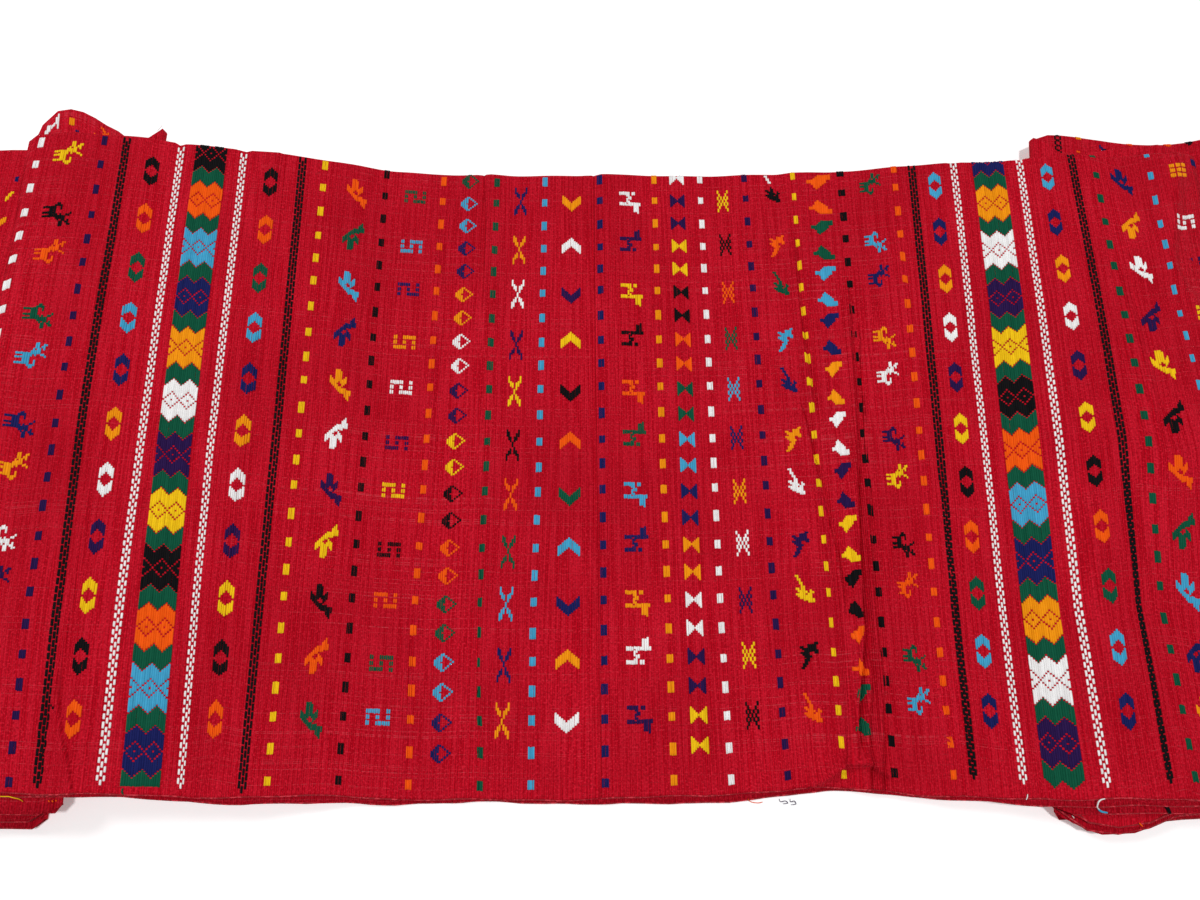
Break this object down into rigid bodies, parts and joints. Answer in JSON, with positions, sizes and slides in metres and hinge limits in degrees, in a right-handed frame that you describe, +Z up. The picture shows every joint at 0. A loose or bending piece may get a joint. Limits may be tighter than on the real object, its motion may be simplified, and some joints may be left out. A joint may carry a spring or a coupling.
{
  "type": "brocaded huipil cloth length",
  "caption": "Doubled length of red hand-woven cotton with bands of small brocaded motifs, its ends laid back and forth into low piles.",
  "frame": {"origin": "on the surface it lies on, under the middle of the whole", "axes": "+X along the cloth's length, +Y from the two selvedges to the lengthwise fold, +Z up"},
  "size_m": [0.965, 0.5065, 0.038],
  "materials": {
    "red_ground": "matt ribbed cotton",
    "brocade_yarns": "soft low-sheen cotton pattern yarns in nine colours"
  },
  "bodies": {
    "root": {"cloth": "red_ground"}
  },
  "joints": []
}
